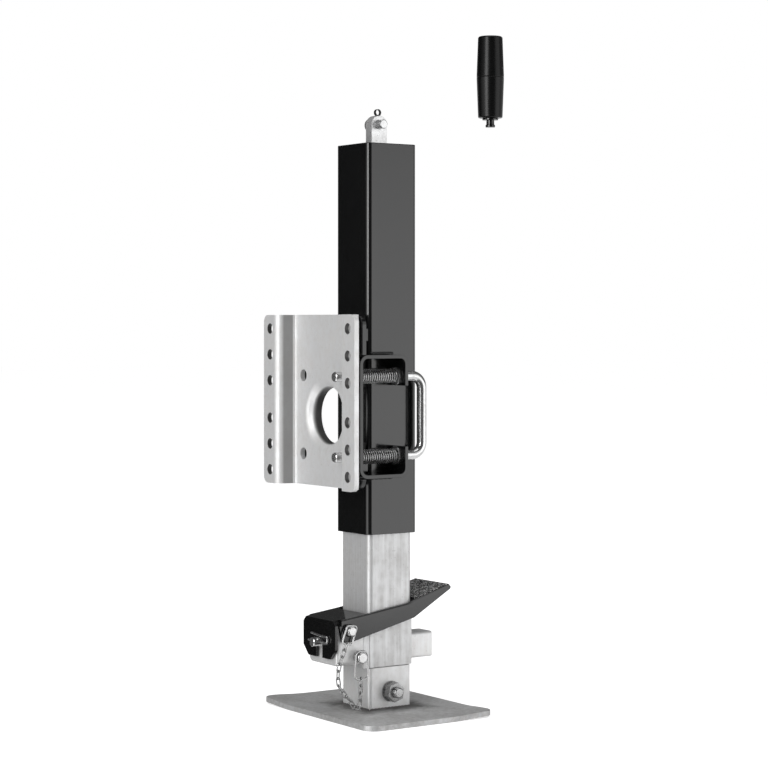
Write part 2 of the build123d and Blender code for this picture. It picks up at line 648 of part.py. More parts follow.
pivot_bail = [(pivot_x - 4.6, pivot_z + 5.4), (pivot_x + 6.9, pivot_z + 4.4), (pivot_x + 0.6, pivot_z - 13.0)]
pivot_bail += [(pivot_x - 10.6, pivot_z - 10.6)]
save("pivot_bail", bail(pivot_bail, pivot_bail_y, bail_wire, 2.4))
keeper_bail = [(keeper_x - 6.4, keeper_z + 6.2), (keeper_x + 6.4, keeper_z + 6.2)]
keeper_bail += [(keeper_x + 7.2, keeper_z - 20.5), (keeper_x - 8.6, keeper_z - 20.5)]
save("keeper_bail", bail(keeper_bail, keeper_bail_y, bail_wire, 4.6))

chain_y = (pivot_bail_y + keeper_bail_y) / 2
hook = bail_wire + 0.1
bar_x = pivot_x - 5.4
bar_z = pivot_z - 10.6 - 2.4 * (10.6 - 5.4) / 11.2
route = [(bar_x + 0.38 * hook, bar_z + 0.92 * hook), (-61.0, 59.3), (-64.1, 50.0), (-65.0, 39.3), (-62.8, 31.0)]
route += [(-57.3, 24.0), (-51.4, 17.8), (-46.8, 11.4), (-43.4, 9.4), (-40.8, 15.0), (-39.6, 24.4)]
route += [(keeper_x - 0.7, keeper_z - 20.5 + hook)]
path = Spline(*[(x, chain_y, z) for x, z in route])
pitch = path.length / link_count
link_long = pitch + 0.35 + 4 * link_wire


def link_outline(inset):
    """Half of a link's outline is four straight runs round each end."""
    radius = (link_width / 2 - inset) / math.cos(math.pi / 8)
    run = (link_long - link_width) / 2
    points = []
    for end, start in ((1, -90), (-1, 90)):
        for k in range(4):
            angle = math.radians(start + 22.5 + 45 * k)
            points.append((end * run + radius * math.cos(angle), radius * math.sin(angle)))
    return make_face(Polyline(*points, close=True))


links = []
for i in range(link_count):
    centre = path @ ((i + 0.5) / link_count)
    way = (path @ ((i + 1) / link_count) - path @ (i / link_count)).normalized()
    flat = Vector(0, 1, 0) if i % 2 else Vector(0, 1, 0).cross(way)
    plane = Plane(centre, x_dir=way, z_dir=flat)
    ring = extrude(plane * (link_outline(0) - link_outline(2 * link_wire)), link_wire, both=True)
    links.append(chamfer(ring.edges(), link_wire * 0.45))
save("chain", Compound(children=links))
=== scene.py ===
import json
import math

import bmesh
import bpy
import numpy as np
from mathutils import Matrix, Vector


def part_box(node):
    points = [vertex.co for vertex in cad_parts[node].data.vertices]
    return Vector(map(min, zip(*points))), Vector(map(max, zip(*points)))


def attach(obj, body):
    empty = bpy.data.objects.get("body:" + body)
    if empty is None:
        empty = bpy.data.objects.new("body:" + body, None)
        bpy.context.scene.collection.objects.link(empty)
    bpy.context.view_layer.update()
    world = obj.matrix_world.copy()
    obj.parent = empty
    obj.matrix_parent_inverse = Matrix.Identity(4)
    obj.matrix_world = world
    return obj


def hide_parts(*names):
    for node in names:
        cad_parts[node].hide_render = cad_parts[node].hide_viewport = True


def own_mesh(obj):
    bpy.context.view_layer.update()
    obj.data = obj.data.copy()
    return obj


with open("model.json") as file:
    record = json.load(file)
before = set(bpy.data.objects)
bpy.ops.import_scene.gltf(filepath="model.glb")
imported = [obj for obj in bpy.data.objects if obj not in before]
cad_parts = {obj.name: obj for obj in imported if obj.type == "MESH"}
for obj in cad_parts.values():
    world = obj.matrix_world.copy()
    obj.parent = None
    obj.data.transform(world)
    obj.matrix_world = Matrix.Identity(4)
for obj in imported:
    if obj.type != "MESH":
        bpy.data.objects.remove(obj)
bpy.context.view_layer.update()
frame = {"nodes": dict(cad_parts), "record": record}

record = frame["record"]
bodyOf = {node: body for body, nodes in record["behaviour"]["bodies"].items() for node in nodes}
slotOf = {part["node"]: part["material_slot"] for part in record["subparts"]}
crankPin = (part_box("crank_pin")[0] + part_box("crank_pin")[1]) / 2
swivelHeight = (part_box("collar_ring")[0].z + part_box("collar_ring")[1].z) / 2
print("frame loaded:", len(frame["nodes"]), "nodes")


# Shader nodes

class Wire:
    def __init__(self, graph, socket):
        self.graph = graph
        self.socket = socket

    def maths(self, operation, first, second):
        return self.graph.node("ShaderNodeMath", {"operation": operation}, {0: first, 1: second})

    def __add__(self, other):
        return self.maths("ADD", self, other)

    def __radd__(self, other):
        return self.maths("ADD", other, self)

    def __sub__(self, other):
        return self.maths("SUBTRACT", self, other)

    def __rsub__(self, other):
        return self.maths("SUBTRACT", other, self)

    def __mul__(self, other):
        return self.maths("MULTIPLY", self, other)

    def __truediv__(self, other):
        return self.maths("DIVIDE", self, other)

    def __pow__(self, other):
        return self.maths("POWER", self, other)


class Graph:
    def __init__(self, owner):
        owner.use_nodes = True
        self.tree = owner.node_tree
        self.tree.nodes.clear()

    def node(self, kind, settings=None, inputs=None, output=0):
        made = self.tree.nodes.new(kind)
        for name, value in (settings or {}).items():
            if name == "stops":
                ramp = made.color_ramp
                while len(ramp.elements) < len(value):
                    ramp.elements.new(0.5)
                for stop, (place, tone) in zip(ramp.elements, value):
                    stop.position = place
                    stop.color = (tone, tone, tone, 1)
            else:
                setattr(made, name, value)
        for key, value in (inputs or {}).items():
            if isinstance(value, Wire):
                self.tree.links.new(value.socket, made.inputs[key])
            else:
                made.inputs[key].default_value = value
        return Wire(self, made.outputs[output]) if len(made.outputs) else None

    def place(self, scale=(1, 1, 1), turn=(0, 0, 0)):
        position = self.node("ShaderNodeTexCoord", output="Object")
        return self.node("ShaderNodeMapping", {}, {"Vector": position, "Rotation": turn, "Scale": scale})

    def noise(self, scale, detail=3, rough=0.5, stretch=(1, 1, 1), turn=(0, 0, 0)):
        return self.node("ShaderNodeTexNoise", {}, {
            "Vector": self.place(stretch, turn), "Scale": scale, "Detail": detail, "Roughness": rough})

    def ramp(self, factor, low, high, lowTone=0.0, highTone=1.0):
        return self.node("ShaderNodeMapRange", {"interpolation_type": "SMOOTHSTEP"}, {
            "Value": factor, "From Min": low, "From Max": high, "To Min": lowTone, "To Max": highTone})

    def absolute(self, value):
        return self.node("ShaderNodeMath", {"operation": "ABSOLUTE"}, {0: value})

    def voronoi(self, scale):
        return self.node("ShaderNodeTexVoronoi", {}, {"Vector": self.place(), "Scale": scale}, "Distance")

    def mixed(self, factor, first, second):
        return self.node("ShaderNodeMix", {"data_type": "RGBA"}, {0: factor, 6: first, 7: second}, output=2)

    def bump(self, height, strength, distance):
        return self.node("ShaderNodeBump", {}, {"Height": height, "Strength": strength, "Distance": distance})

    def parts(self, vector):
        split = self.tree.nodes.new("ShaderNodeSeparateXYZ")
        self.tree.links.new(vector.socket, split.inputs[0])
        return [Wire(self, socket) for socket in split.outputs]

    def axes(self):
        return self.parts(self.node("ShaderNodeTexCoord", output="Object"))

    def finish(self, inputs):
        shader = self.node("ShaderNodeBsdfPrincipled", {}, inputs)
        self.node("ShaderNodeOutputMaterial", {}, {"Surface": shader})


def grey(tone, warm=0.0):
    return (tone * (1 + warm), tone, tone * (1 - warm), 1)


finishes = {}


def newMaterial(name):
    material = bpy.data.materials.new(name)
    finishes[name] = material
    return Graph(material)


blackPaintValues = {
    "dark": 0.0036, "pale": 0.0066, "tint": -0.03, "cloud": 34, "smooth": 0.09, "dull": 0.17, "mirror": 1.6,
    "peel": 520, "peelDepth": 0.00004, "nib": 900, "nibFrom": 0.72, "nibTo": 0.8, "nibRough": 0.1, "nibHeight": 0.6}


def makeBlackPaint():
    values = blackPaintValues
    graph = newMaterial("blackPaint")
    cloud = graph.noise(values["cloud"], 4, 0.6)
    peel = graph.noise(values["peel"], 1.5, 0.4)
    nib = graph.ramp(graph.noise(values["nib"], 1, 0.3), values["nibFrom"], values["nibTo"])
    dark, pale = grey(values["dark"], values["tint"]), grey(values["pale"], values["tint"])
    graph.finish({
        "Base Color": graph.mixed(cloud, dark, pale),
        "Roughness": values["smooth"] + cloud * (values["dull"] - values["smooth"]) + nib * values["nibRough"],
        "IOR": values["mirror"],
        "Normal": graph.bump(peel + nib * values["nibHeight"], 0.35, values["peelDepth"])})


# tone, its spread, roughness, its spread, streak stretch along each axis, depth of the bump
zincValues = {
    "tubeZinc": {"tone": 0.64, "spread": 0.16, "rough": 0.4, "roughSpread": 0.2, "metal": 0.55,
                 "streak": (1, 1, 0.045), "streakScale": 330, "depth": 0.00003},
    "plateZinc": {"tone": 0.76, "spread": 0.1, "rough": 0.4, "roughSpread": 0.16, "metal": 0.5,
                  "streak": (1, 1, 0.5), "streakScale": 150, "depth": 0.00003},
    "brightZinc": {"tone": 0.62, "spread": 0.14, "rough": 0.16, "roughSpread": 0.14, "metal": 0.9,
                   "streak": (1, 1, 1), "streakScale": 300, "depth": 0.00002},
    "pinSteel": {"tone": 0.72, "spread": 0.16, "rough": 0.26, "roughSpread": 0.18, "metal": 0.7,
                 "streak": (1, 1, 1), "streakScale": 420, "depth": 0.00003},
    "paleZinc": {"tone": 0.88, "spread": 0.08, "rough": 0.36, "roughSpread": 0.16, "metal": 0.4,
                 "streak": (1, 1, 0.2), "streakScale": 300, "depth": 0.00003},
    "springZinc": {"tone": 0.85, "spread": 0.1, "rough": 0.22, "roughSpread": 0.1, "metal": 0.9,
                   "streak": (1, 1, 1), "streakScale": 500, "depth": 0.00001},
    "handleZinc": {"tone": 0.62, "spread": 0.14, "rough": 0.16, "roughSpread": 0.14, "metal": 0.9,
                   "streak": (1, 1, 1), "streakScale": 300, "depth": 0.00002},
    "nutSteel": {"tone": 0.3, "spread": 0.14, "rough": 0.2, "roughSpread": 0.14, "metal": 0.9,
                 "streak": (1, 1, 1), "streakScale": 500, "depth": 0.00002},
    "wireZinc": {"tone": 0.42, "spread": 0.16, "rough": 0.2, "roughSpread": 0.14, "metal": 0.95,
                 "streak": (1, 1, 1), "streakScale": 500, "depth": 0.00002},
}


# Painted shade on the pressed plate: the hat's drawn walls, the bore and the bolt holes' walls are painted darker,
# standing in for the shade and dark reflections there
paintedPlateShadePlaces = {
    "wallStart": -0.0748, "wallFull": -0.0715, "wallEnd": -0.0636, "wallOut": -0.0626, "wallTone": 0.2,
    "wallShare": 0.75, "webSide": 0.04, "wallSide": 0.045,
    "bore": 0.0268, "boreOut": 0.0286, "boreTone": 0.06, "boreShare": 0.97,
    "flangeFront": -0.0788, "flangeBack": -0.0742, "holeLine": 0.06985, "holeReach": 0.0058, "fade": 0.0003}


def pressedShade(graph, base):
    values = paintedPlateShadePlaces
    x, y, z = graph.axes()
    aside = graph.absolute(y)
    wall = (graph.ramp(x, values["wallStart"], values["wallFull"])
            * graph.ramp(x, values["wallEnd"], values["wallOut"], 1, 0)
            * graph.ramp(aside, values["webSide"], values["wallSide"]))
    rise = z - swivelHeight
    bore = graph.ramp((y * y + rise * rise) ** 0.5, values["bore"], values["boreOut"], 1, 0)
    within = (graph.ramp(x, values["flangeFront"] - 0.0001, values["flangeFront"] + values["fade"])
              * graph.ramp(x, values["flangeBack"] - values["fade"], values["flangeBack"] + 0.0001, 1, 0))
    onLine = graph.ramp(graph.absolute(aside - values["holeLine"]), values["holeReach"] - values["fade"],
                        values["holeReach"], 1, 0)
    # painted shade: the drawn walls, then the bore and the hole walls, are mixed towards dark tones
    base = graph.mixed(wall * values["wallShare"], base, grey(values["wallTone"], 0.01))
    return graph.mixed(bore * values["boreShare"] + within * onLine * values["boreShare"], base,
                       grey(values["boreTone"], 0.02))


# The handle's legs are painted near black inside the springs: painted shade, so that the gaps between the coils
# read dark
springShadeOnLegs = {"start": -0.0475, "end": -0.005, "fade": 0.0015, "tone": 0.012, "share": 0.95}


def greasedShade(graph, base):
    values = springShadeOnLegs
    x, y, z = graph.axes()
    shadeInSprings = (graph.ramp(x, values["start"], values["start"] + values["fade"])
              * graph.ramp(x, values["end"] - values["fade"], values["end"], 1, 0))
    # painted shade: the legs go near black where the springs wrap them
    return graph.mixed(shadeInSprings * values["share"], base, grey(values["tone"], 0.05))


# painted shade of the pressed plate and of the handle's legs
placedShades = {"plateZinc": pressedShade, "handleZinc": greasedShade}

# What the zinc finishes share: scales of their grain, limits of its ramps and tints
zincGrain = {"cloud": 28, "spangle": 160, "shadeFrom": 0.3, "shadeTo": 0.66, "warm": 0.012, "cold": -0.008,
             "speck": 620, "speckFrom": 0.64, "speckTo": 0.74, "speckShare": 0.35, "speckTone": 0.62,
             "speckRough": 0.08}


def makeZinc(name):
    values, grain = zincValues[name], zincGrain
    graph = newMaterial(name)
    cloud = graph.noise(grain["cloud"], 5, 0.62)
    spangle = graph.voronoi(grain["spangle"])
    streak = graph.noise(values["streakScale"], 4, 0.6, values["streak"])
    speck = graph.ramp(graph.noise(grain["speck"], 2, 0.5), grain["speckFrom"], grain["speckTo"])
    shade = graph.ramp(cloud * 0.45 + streak * 0.45 + spangle * 0.1, grain["shadeFrom"], grain["shadeTo"])
    low = values["tone"] - values["spread"] / 2
    high = values["tone"] + values["spread"] / 2
    base = graph.mixed(shade, grey(low, grain["warm"]), grey(high, grain["cold"]))
    base = graph.mixed(speck * grain["speckShare"], base, grey(low * grain["speckTone"], 0.02))
    graph.finish({
        "Base Color": placedShades[name](graph, base) if name in placedShades else base,
        "Metallic": values["metal"],
        "Roughness": values["rough"] + (1 - shade) * values["roughSpread"] + speck * grain["speckRough"],
        "Normal": graph.bump(streak * 0.6 + speck * 0.5 + cloud * 0.4, 0.4, values["depth"])})


footSteelValues = {
    "low": 0.42, "high": 0.62, "warm": 0.012, "cold": -0.006, "rough": 0.42, "roughSpread": 0.2, "metal": 0.5,
    "cloud": 18, "fine": 260, "smudge": 75, "shadeFrom": 0.34, "shadeTo": 0.64, "depth": 0.00005,
    "scorch": 0.05, "scorchReach": 0.028, "scorchEdge": 0.03, "scorchShare": 0.9, "scorchDull": 0.3,
    "scorchRough": 0.2, "speck": 520, "speckFrom": 0.62, "speckTo": 0.72, "speckShare": 0.4, "speckTone": 0.6}


def makeFootSteel():
    values = footSteelValues
    graph = newMaterial("footSteel")
    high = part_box("foot_boot")[1]
    x, y, z = graph.axes()
    away = graph.node("ShaderNodeMath", {"operation": "MAXIMUM"}, {
        0: graph.absolute(x) - high.x, 1: graph.absolute(y) - high.y})
    cloud = graph.noise(values["cloud"], 6, 0.65)
    fine = graph.noise(values["fine"], 4, 0.6)
    smudge = graph.noise(values["smudge"], 4, 0.6)
    heat = graph.ramp(away - (smudge - 0.5) * values["scorchEdge"], 0.0, values["scorchReach"], 1.0, 0.0)
    shade = graph.ramp(cloud * 0.62 + fine * 0.38, values["shadeFrom"], values["shadeTo"])
    speck = graph.ramp(graph.noise(values["speck"], 2, 0.5), values["speckFrom"], values["speckTo"])
    base = graph.mixed(shade, grey(values["low"], values["warm"]), grey(values["high"], values["cold"]))
    base = graph.mixed(speck * values["speckShare"], base, grey(values["low"] * values["speckTone"], 0.03))
    graph.finish({
        "Base Color": graph.mixed(heat * values["scorchShare"], base, grey(values["scorch"], 0.05)),
        "Metallic": values["metal"] - heat * values["scorchDull"],
        "Roughness": values["rough"] + (1 - shade) * values["roughSpread"] + heat * values["scorchRough"],
        "Normal": graph.bump(fine * 0.5 + cloud * 0.5 + speck * 0.4, 0.5, values["depth"])})


gripPlasticValues = {"tone": 0.0028, "paler": 1.6, "tint": -0.02, "rough": 0.19, "shine": 0.26, "cloud": 60,
                     "grain": 1400, "grainDepth": 0.00003, "seamHalf": 0.0003, "seamHeight": 1.5}


def makeGripPlastic():
    values = gripPlasticValues
    graph = newMaterial("gripPlastic")
    x, y, z = graph.axes()
    low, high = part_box("crank_grip")
    seam = graph.ramp(graph.absolute(y - (low.y + high.y) / 2), 0.0, values["seamHalf"], 1, 0)
    grain = graph.noise(values["grain"], 2, 0.5)
    cloud = graph.noise(values["cloud"], 3, 0.5)
    dark, pale = grey(values["tone"], values["tint"]), grey(values["tone"] * values["paler"], values["tint"])
    graph.finish({
        "Base Color": graph.mixed(cloud, dark, pale),
        "Roughness": values["rough"] + grain * 0.12 + cloud * 0.05,
        "Specular IOR Level": values["shine"],
        "Normal": graph.bump(grain * 0.7 + seam * values["seamHeight"], 0.5, values["grainDepth"])})


gritValues = {"dark": 0.004, "pale": 0.55, "grain": 900, "lump": 540, "grainDepth": 0.0007, "spark": 820,
              "sparkFrom": 0.55, "sparkTo": 0.6, "rough": 0.62, "sparkSmooth": 0.3}


def makeGrit():
    values = gritValues
    graph = newMaterial("gritTape")
    grain = graph.voronoi(values["grain"])
    lump = graph.noise(values["lump"], 3, 0.6)
    spark = graph.ramp(graph.noise(values["spark"], 1, 0.4), values["sparkFrom"], values["sparkTo"])
    graph.finish({
        "Base Color": graph.mixed(spark, grey(values["dark"]), grey(values["pale"])),
        "Roughness": values["rough"] - spark * values["sparkSmooth"],
        "Normal": graph.bump((1 - grain) * 0.7 + lump * 0.5, 0.9, values["grainDepth"])})


makeBlackPaint()
for zincName in zincValues:
    makeZinc(zincName)
makeFootSteel()
makeGripPlastic()
makeGrit()
print("finishes made:", ", ".join(finishes))

finishOfSlot = {"black_paint": "blackPaint", "zinc": "tubeZinc", "bright_zinc": "brightZinc",
                "pin_steel": "pinSteel", "foot_steel": "footSteel", "grip_plastic": "gripPlastic",
                "grit": "gritTape"}
# Nodes whose finish isn't the usual one of their slot
finishOfNode = {
    "mount_plate": "plateZinc", "collar_ring": "plateZinc", "foot_boot": "plateZinc", "lock_housing": "plateZinc",
    "stop_stub": "paleZinc", "lock_springs": "springZinc", "lock_handle": "handleZinc", "pivot_bail": "wireZinc",
    "keeper_bail": "wireZinc", "chain": "wireZinc", "boot_bolt": "wireZinc", "boot_nut": "nutSteel",
    "boot_washer": "nutSteel", "grip_spindle": "blackPaint"}


def finishFor(node):
    return finishes[finishOfNode.get(node) or finishOfSlot[slotOf[node]]]


# Working steps

def onlySelect(*objects):
    if bpy.context.mode != "OBJECT":
        bpy.ops.object.mode_set(mode="OBJECT")
    bpy.ops.object.select_all(action="DESELECT")
    for one in objects:
        one.select_set(True)
    bpy.context.view_layer.objects.active = objects[0]


def applyModifiers(piece):
    onlySelect(piece)
    for modifier in list(piece.modifiers):
        bpy.ops.object.modifier_apply(modifier=modifier.name)


def smoothEdges(piece, width, segments=2, angle=28, smooth=40):
    # a soft edge that catches the light, with the flats kept flat
    onlySelect(piece)
    if width:
        bevel = piece.modifiers.new("edge", "BEVEL")
        bevel.width = width
        bevel.segments = segments
        bevel.limit_method = "ANGLE"
        bevel.angle_limit = math.radians(angle)
        applyModifiers(piece)
    bpy.ops.object.shade_smooth_by_angle(angle=math.radians(smooth))
    weighted = piece.modifiers.new("flats", "WEIGHTED_NORMAL")
    weighted.keep_sharp = True
    weighted.weight = 90
    applyModifiers(piece)


def clothe(piece, node, replace=True):
    # finish and body of the node, which the piece stands for unless it is only added to it
    piece.data.materials.clear()
    piece.data.materials.append(finishFor(node))
    for polygon in piece.data.polygons:
        polygon.material_index = 0
    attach(piece, bodyOf[node])
    if replace:
        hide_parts(node)


def mergedCopy(node, name, flat=0.4):
    piece = bpy.data.objects.new(name, frame["nodes"][node].data.copy())
    bpy.context.scene.collection.objects.link(piece)
    onlySelect(piece)
    bpy.ops.mesh.customdata_custom_splitnormals_clear()
    bpy.ops.object.mode_set(mode="EDIT")
    bpy.ops.mesh.select_all(action="SELECT")
    bpy.ops.mesh.remove_doubles(threshold=0.000002)
    bpy.ops.mesh.dissolve_limited(angle_limit=math.radians(flat))
    bpy.ops.object.mode_set(mode="OBJECT")
    return piece


def bevelChosen(piece, chosen, width, segments):
    # a wider bend on some of the edges: chosen(middle, way, faceNormals) says which
    onlySelect(piece)
    bpy.ops.object.mode_set(mode="EDIT")
    bpy.context.tool_settings.mesh_select_mode = (False, True, False)
    bpy.ops.mesh.select_all(action="DESELECT")
    work = bmesh.from_edit_mesh(piece.data)
    for edge in work.edges:
        first, second = (vertex.co for vertex in edge.verts)
        edge.select = chosen((first + second) / 2, (second - first).normalized(),
                             [face.normal for face in edge.link_faces])
    bmesh.update_edit_mesh(piece.data)
    bpy.ops.mesh.bevel(offset=width, segments=segments, affect="EDGES")
    bpy.ops.object.mode_set(mode="OBJECT")


def cutWith(piece, cutter):
    bpy.ops.object.transform_apply(location=True, rotation=True, scale=True)
    cut = piece.modifiers.new("cut", "BOOLEAN")
    cut.operation = "DIFFERENCE"
    cut.object = cutter
    applyModifiers(piece)
    onlySelect(cutter)
    bpy.ops.object.delete()


def cutAway(piece, low, high, tilt=0):
    bpy.ops.object.select_all(action="DESELECT")
    bpy.ops.mesh.primitive_cube_add(size=1, location=(low + high) / 2, rotation=(tilt, 0, 0))
    cutter = bpy.context.object
    cutter.scale = high - low
    cutWith(piece, cutter)


def cutRound(piece, middle, radius, depth):
    bpy.ops.object.select_all(action="DESELECT")
    bpy.ops.mesh.primitive_cylinder_add(vertices=40, radius=radius, depth=depth, location=middle,
                                        rotation=(math.pi / 2, 0, 0))
    cutWith(piece, bpy.context.object)


# Pieces whose shape is the frame's own: node, name of the piece, width of its soft edge in metres
softened = {
    "outer_tube": ("outerTube", 0), "top_cap": ("capPlate", 0), "back_plate": ("backPlate", 0.0006),
    "stand_offs": ("standOffs", 0.0005), "lock_frame": ("lockFrame", 0.0006),
    "spring_seats": ("springSeats", 0.0002), "mount_plate": ("mountPlate", 0.0007),
    "collar_ring": ("collarRing", 0.0004), "lock_handle": ("lockHandle", 0.0005),
    "handle_cross_pins": ("crossPins", 0.0003), "lead_screw": ("leadScrew", 0.0004),
    "crank_pin": ("crankPin", 0.0005), "crank_arm": ("crankArm", 0.0006), "grip_spindle": ("gripSpindle", 0.0003),
    "ram_tube": ("ramTube", 0.0004), "lock_collar": ("lockCollar", 0.0004),
    "lock_housing": ("lockHousing", 0.0005), "stop_stub": ("stopStub", 0.0004), "pivot_pin": ("pivotPin", 0.0005),
    "keeper_pin": ("keeperPin", 0.0005), "pivot_bail": ("pivotBail", 0), "keeper_bail": ("keeperBail", 0),
    "drop_tube": ("dropTube", 0.0004), "foot_boot": ("footBoot", 0.0004),
    "boot_bolt": ("bootBolt", 0.0003), "boot_nut": ("bootNut", 0.0003), "boot_washer": ("bootWasher", 0.0002),
    "foot_lever": ("footLever", 0.0006), "tread_pad": ("treadPad", 0.0003), "lock_plunger": ("lockPlunger", 0.0003),
    "plunger_clip": ("plungerClip", 0),
}
cutterOver = 0.002  # how far a cutter stands out of the face that it cuts


# Bent sheets are round along the upper edges of their flanks, but not at the crank's hole
bentSheet = {"onFace": 0.0001, "rising": 0.45, "steps": 4, "crankWidth": 0.0017, "leverWidth": 0.0016,
             "holeAside": -0.0033, "holeRise": 0.0112, "holeKeep": 0.0045}


def bendUpperEdges(piece, node, width):
    values = bentSheet
    low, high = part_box(node)
    half = (high.y - low.y) / 2

    def chosen(middle, way, normals):
        onFlank = abs(abs(middle.y) - half) < values["onFace"] and abs(way.y) < 0.1
        rising = any(normal.z > values["rising"] for normal in normals)
        aside, rise = middle.x - values["holeAside"], middle.z - crankPin.z - values["holeRise"]
        return onFlank and rising and math.hypot(aside, rise) > values["holeKeep"] and abs(way.z) < 0.9

    bevelChosen(piece, chosen, width, values["steps"])


# Holes through the crank's cheeks beside the pin: aside, rise, radius
cheekHoles = [(-0.0033, 0.0112, 0.0034), (0.0038, -0.011, 0.00275)]
cheekDepth = 0.03


def shapeCrank(piece):
    bendUpperEdges(piece, "crank_arm", bentSheet["crankWidth"])
    for aside, rise, radius in cheekHoles:
        cutRound(piece, crankPin + Vector((aside, 0, rise)), radius, cheekDepth)


# The lever's end plate has cut corners
leverCorner = {"cut": 0.005, "depth": 0.006, "over": 0.001, "plate": 0.0005}


def shapeLever(piece):
    values = leverCorner
    bendUpperEdges(piece, "foot_lever", bentSheet["leverWidth"])
    low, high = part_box("foot_lever")
    top = max(vertex.co.z for vertex in piece.data.vertices if vertex.co.x < low.x + values["plate"])
    reach = values["cut"] / math.sqrt(2)
    half = Vector((values["depth"] / 2 + values["over"], reach, reach))
    for side in (low.y, high.y):
        corner = Vector((low.x + values["depth"] / 2, side, top))
        cutAway(piece, corner - half, corner + half, math.radians(45))


# The drawn collar's lip runs over from the web in a round sweep
lipBend = {"inner": 0.027, "outer": 0.033, "near": 0.0006, "back": -0.05, "width": 0.0024, "steps": 5}


def shapePlate(piece):
    values = lipBend

    def chosen(middle, way, normals):
        reach = math.hypot(middle.y, middle.z - swivelHeight)
        onLip = min(abs(reach - values["inner"]), abs(reach - values["outer"])) < values["near"]
        return middle.x < values["back"] and abs(way.x) < 0.1 and onLip

    bevelChosen(piece, chosen, values["width"], values["steps"])


# Only the outer tube's lower rim is soft, because its cap sits flush on it
tubeRim = {"near": 0.0001, "width": 0.0005, "steps": 2}


def shapeTube(piece):
    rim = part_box("outer_tube")[0].z + tubeRim["near"]
    bevelChosen(piece, lambda middle, way, normals: middle.z < rim, tubeRim["width"], tubeRim["steps"])


# The lock frame's right wall is open to the front between the handle's legs
frameNotch = {"wall": 0.004, "half": 0.029, "over": 0.001}


def shapeFrame(piece):
    low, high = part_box("lock_frame")
    middle = (low.z + high.z) / 2
    cutAway(piece, Vector((high.x - frameNotch["wall"], low.y - cutterOver, middle - frameNotch["half"])),
            Vector((high.x + cutterOver, high.y + frameNotch["over"], middle + frameNotch["half"])))


# The joint between the boot and the collar above it shows as a dark line
bootGap = 0.0005


def shapeBoot(piece):
    low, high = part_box("foot_boot")
    over = Vector((cutterOver, cutterOver, cutterOver))
    cutAway(piece, Vector((low.x, low.y, high.z - bootGap + cutterOver)) - over, high + over)


shapers = {"crank_arm": shapeCrank, "foot_lever": shapeLever, "mount_plate": shapePlate, "outer_tube": shapeTube,
           "lock_frame": shapeFrame, "foot_boot": shapeBoot}
for node, (name, edge) in softened.items():
    piece = mergedCopy(node, name)
    if node in shapers:
        shapers[node](piece)
    smoothEdges(piece, edge)
    clothe(piece, node)
print("softened pieces made:", len(softened))


# The grip is turned: two cones that meet in a seam

def turnedStack(name, outline, place, sides=64):
    # rings and cones on top of each other, from (height, radius) points, closed on itself
    bpy.ops.object.select_all(action="DESELECT")
    rings = []
    for (first, inner), (second, outer) in zip(outline, outline[1:] + outline[:1]):
        if first > second:
            first, inner, second, outer = second, outer, first, inner
        bpy.ops.mesh.primitive_cone_add(vertices=sides, radius1=inner, radius2=outer, depth=second - first,
                                        end_fill_type="NOTHING", location=(0, 0, (first + second) / 2))
        bpy.ops.object.transform_apply(location=True, rotation=True, scale=True)
        rings.append(bpy.context.object)
    onlySelect(*rings)
    bpy.ops.object.join()
    piece = bpy.context.object
    piece.name = name
    bpy.ops.object.mode_set(mode="EDIT")
    bpy.ops.mesh.select_all(action="SELECT")
    bpy.ops.mesh.remove_doubles(threshold=0.000005)
    bpy.ops.mesh.normals_make_consistent(inside=False)
    bpy.ops.object.mode_set(mode="OBJECT")
    piece.location = place
    bpy.ops.object.transform_apply(location=True, rotation=True, scale=True)
    return piece


gripShape = {"end": 0.0124, "middle": 0.01385, "groove": 0.0004, "bore": 0.00425, "sink": 0.007, "room": 0.0082,
             "chamfer": 0.0008, "topChamfer": 0.0012, "edge": 0.00025}


def makeGrip():
    values = gripShape
    low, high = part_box("crank_grip")
    length, seam = high.z - low.z, (high.z - low.z) / 2
    outline = [
        (0, values["bore"]), (0, values["end"] - values["chamfer"]), (values["chamfer"], values["end"]),
        (seam - values["groove"], values["middle"]), (seam, values["middle"] - values["groove"]),
        (seam + values["groove"], values["middle"]), (length - values["topChamfer"], values["end"]),
        (length, values["end"] - values["topChamfer"]), (length, values["room"]),
        (length - values["sink"], values["room"]), (length - values["sink"], values["bore"])]
    grip = turnedStack("crankGrip", outline, ((low.x + high.x) / 2, (low.y + high.y) / 2, low.z))
    smoothEdges(grip, values["edge"], 2, 12, 12)
    clothe(grip, "crank_grip")


makeGrip()

# The foot is a flat sheet with round corners, and two opposite corners are bent up a little
footShape = {"corner": 0.013, "cornerSteps": 8, "columns": 24, "rows": 32, "over": 0.01, "edge": 0.0009,
             "lift": 0.0016, "spread": 0.04, "grab": 0.006}


